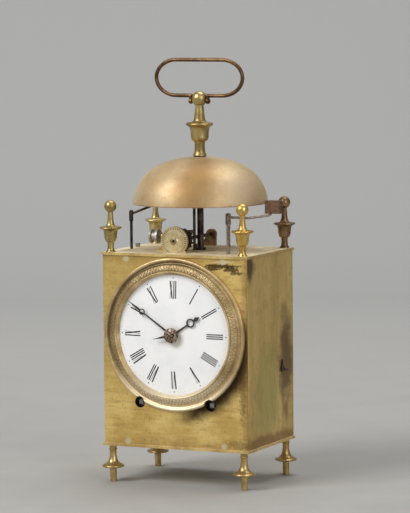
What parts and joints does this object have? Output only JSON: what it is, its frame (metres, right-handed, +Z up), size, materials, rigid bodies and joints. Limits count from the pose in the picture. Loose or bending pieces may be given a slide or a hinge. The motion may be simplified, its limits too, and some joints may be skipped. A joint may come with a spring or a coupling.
{
  "type": "capucine clock",
  "caption": "Small brass carriage clock on turned feet with a round enamel dial, corner finials, a domed bell with hammers above and a carrying handle.",
  "frame": {"origin": "on the floor, straight below the bell post", "axes": "+X to the right and +Z up, seen from the dial; +Y to the back, so the dial faces -Y"},
  "size_m": [0.1234, 0.0949, 0.2961],
  "materials": {
    "case_brass": "worn lacquered sheet",
    "turned_brass": "turned and polished, tarnished",
    "bell_metal": "matte cast bell metal",
    "bezel_brass": "engine-turned, aged",
    "movement_brass": "satin",
    "dark_steel": "darkened",
    "bright_steel": "satin",
    "hammer_steel": "reddish brown",
    "white_enamel": "gloss enamel"
  },
  "bodies": {
    "case": {"base_plate": "case_brass", "top_plate": "case_brass", "corner_columns": "bright_steel", "feet": "turned_brass", "corner_finials": "turned_brass", "front_plate": "case_brass", "front_plate_lugs": "case_brass", "dial": "white_enamel", "bezel": "bezel_brass", "hinge_pins": "dark_steel", "bell": "bell_metal", "bell_post": "dark_steel", "bell_fixings": "dark_steel", "handle_finial": "turned_brass", "handle_pin": "dark_steel", "hammer_potences": "dark_steel", "alarm_front_cock": "turned_brass", "alarm_back_cock": "turned_brass", "alarm_spool_cock": "movement_brass", "set_square": "bright_steel", "movement_front_plate": "movement_brass", "movement_back_plate": "movement_brass", "movement_pillars": "bright_steel", "movement_brackets": "bright_steel", "clicks": "dark_steel", "pendulum_cock": "movement_brass"},
    "handle": {"handle": "dark_steel"},
    "right_door": {"right_door": "case_brass", "right_door_catch": "dark_steel"},
    "left_door": {"left_door": "case_brass"},
    "back_door": {"back_door": "case_brass"},
    "centre": {"centre_wheel": "movement_brass", "cannon_pinion": "movement_brass", "minute_hand": "dark_steel"},
    "hour": {"hour_wheel": "movement_brass", "hour_hand": "dark_steel"},
    "minute_wheel": {"minute_wheel": "movement_brass"},
    "second_wheel": {"second_wheel": "movement_brass"},
    "going_barrel": {"going_barrel": "movement_brass"},
    "third_wheel": {"third_wheel": "movement_brass"},
    "escape_wheel": {"escape_wheel": "movement_brass"},
    "pendulum": {"pallets": "bright_steel", "pendulum_rod": "bright_steel", "pendulum_bob": "movement_brass"},
    "strike_barrel": {"strike_barrel": "movement_brass"},
    "pin_wheel": {"pin_wheel": "movement_brass"},
    "count_wheel": {"count_wheel": "movement_brass"},
    "locking_wheel": {"locking_wheel": "movement_brass"},
    "fly": {"fly": "movement_brass"},
    "going_winding": {"going_winding_arbor": "bright_steel"},
    "strike_winding": {"strike_winding_arbor": "bright_steel"},
    "alarm_hand": {"alarm_hand": "bezel_brass"},
    "alarm_wheel": {"alarm_crown_wheel": "dark_steel"},
    "alarm_verge": {"alarm_verge": "dark_steel", "alarm_hammer": "dark_steel"},
    "alarm_spool": {"alarm_spool": "bright_steel"},
    "right_hammer": {"right_hammer_arbor": "dark_steel", "right_hammer_head": "hammer_steel"},
    "left_hammer": {"left_hammer_arbor": "dark_steel", "left_hammer_head": "hammer_steel"}
  },
  "joints": [
    {"name": "handle_swing", "type": "hinge", "parent": "case", "child": "handle", "pos_m": [0, 0, 0.266], "axis": [1, 0, 0], "range_deg": [-150, 150]},
    {"name": "right_door_hinge", "type": "hinge", "parent": "case", "child": "right_door", "pos_m": [0.052, -0.0366, 0.0939], "axis": [0, 0, 1], "range_deg": [-100, 0]},
    {"name": "left_door_hinge", "type": "hinge", "parent": "case", "child": "left_door", "pos_m": [-0.056, -0.0366, 0.0939], "axis": [0, 0, 1], "range_deg": [0, 100]},
    {"name": "back_door_hinge", "type": "hinge", "parent": "case", "child": "back_door", "pos_m": [-0.0544, 0.0383, 0.0939], "axis": [0, 0, 1], "range_deg": [0, 100]},
    {"name": "centre_spin", "type": "hinge", "parent": "case", "child": "centre", "pos_m": [-0.002, -0.009, 0.1061], "axis": [0, 1, 0], "continuous": true},
    {"name": "hour_spin", "type": "hinge", "parent": "case", "child": "hour", "pos_m": [-0.002, -0.038, 0.1061], "axis": [0, 1, 0], "continuous": true},
    {"name": "minute_wheel_spin", "type": "hinge", "parent": "case", "child": "minute_wheel", "pos_m": [-0.01473, -0.033, 0.09337], "axis": [0, 1, 0], "continuous": true},
    {"name": "second_spin", "type": "hinge", "parent": "case", "child": "second_wheel", "pos_m": [0.01406, -0.009, 0.08566], "axis": [0, 1, 0], "continuous": true},
    {"name": "going_barrel_spin", "type": "hinge", "parent": "case", "child": "going_barrel", "pos_m": [0.0252, -0.018, 0.0578], "axis": [0, 1, 0], "continuous": true},
    {"name": "third_spin", "type": "hinge", "parent": "case", "child": "third_wheel", "pos_m": [0.01214, -0.009, 0.12295], "axis": [0, 1, 0], "continuous": true},
    {"name": "escape_spin", "type": "hinge", "parent": "case", "child": "escape_wheel", "pos_m": [-0.002, -0.009, 0.13343], "axis": [0, 1, 0], "continuous": true},
    {"name": "pendulum_swing", "type": "hinge", "parent": "case", "child": "pendulum", "pos_m": [-0.002, -0.009, 0.14743], "axis": [0, 1, 0], "range_deg": [-5, 5]},
    {"name": "strike_barrel_spin", "type": "hinge", "parent": "case", "child": "strike_barrel", "pos_m": [-0.0292, -0.018, 0.0578], "axis": [0, 1, 0], "continuous": true},
    {"name": "pin_wheel_spin", "type": "hinge", "parent": "case", "child": "pin_wheel", "pos_m": [-0.03164, -0.009, 0.08569], "axis": [0, 1, 0], "continuous": true},
    {"name": "count_wheel_spin", "type": "hinge", "parent": "case", "child": "count_wheel", "pos_m": [-0.02621, 0.016, 0.06541], "axis": [0, 1, 0], "continuous": true},
    {"name": "locking_spin", "type": "hinge", "parent": "case", "child": "locking_wheel", "pos_m": [-0.03427, -0.009, 0.10713], "axis": [0, 1, 0], "continuous": true},
    {"name": "fly_spin", "type": "hinge", "parent": "case", "child": "fly", "pos_m": [-0.02825, -0.009, 0.12367], "axis": [0, 1, 0], "continuous": true},
    {"name": "going_winding_spin", "type": "hinge", "parent": "case", "child": "going_winding", "pos_m": [0.0252, -0.018, 0.0578], "axis": [0, 1, 0], "continuous": true},
    {"name": "strike_winding_spin", "type": "hinge", "parent": "case", "child": "strike_winding", "pos_m": [-0.0292, -0.018, 0.0578], "axis": [0, 1, 0], "continuous": true},
    {"name": "alarm_setting_spin", "type": "hinge", "parent": "case", "child": "alarm_hand", "pos_m": [-0.002, -0.03, 0.1061], "axis": [0, 1, 0], "continuous": true},
    {"name": "alarm_wheel_spin", "type": "hinge", "parent": "case", "child": "alarm_wheel", "pos_m": [-0.0075, 0, 0.1699], "axis": [0, 1, 0], "continuous": true},
    {"name": "alarm_verge_swing", "type": "hinge", "parent": "case", "child": "alarm_verge", "pos_m": [-0.0026, -0.0046, 0.177], "axis": [0, 0, 1], "range_deg": [-12, 12]},
    {"name": "alarm_spool_spin", "type": "hinge", "parent": "case", "child": "alarm_spool", "pos_m": [-0.025, -0.0095, 0.1714], "axis": [1, 0, 0], "continuous": true},
    {"name": "right_hammer_swing", "type": "hinge", "parent": "case", "child": "right_hammer", "pos_m": [0.032, -0.023, 0.15], "axis": [0, 0, 1], "range_deg": [-16, 9]},
    {"name": "left_hammer_swing", "type": "hinge", "parent": "case", "child": "left_hammer", "pos_m": [-0.0498, -0.0087, 0.15], "axis": [0, 0, 1], "range_deg": [-6, 14]}
  ],
  "couplings": [
    {"joint": "hour_spin", "follows": "centre_spin", "ratio": 0.083333},
    {"joint": "minute_wheel_spin", "follows": "centre_spin", "ratio": -0.33333},
    {"joint": "second_spin", "follows": "centre_spin", "ratio": -0.2381},
    {"joint": "going_barrel_spin", "follows": "centre_spin", "ratio": 0.059524},
    {"joint": "third_spin", "follows": "centre_spin", "ratio": -4.5},
    {"joint": "escape_spin", "follows": "centre_spin", "ratio": 20.25},
    {"joint": "strike_barrel_spin", "follows": "pin_wheel_spin", "ratio": -0.16667},
    {"joint": "count_wheel_spin", "follows": "pin_wheel_spin", "ratio": -0.2},
    {"joint": "locking_spin", "follows": "pin_wheel_spin", "ratio": -5},
    {"joint": "fly_spin", "follows": "pin_wheel_spin", "ratio": 22.5}
  ]
}
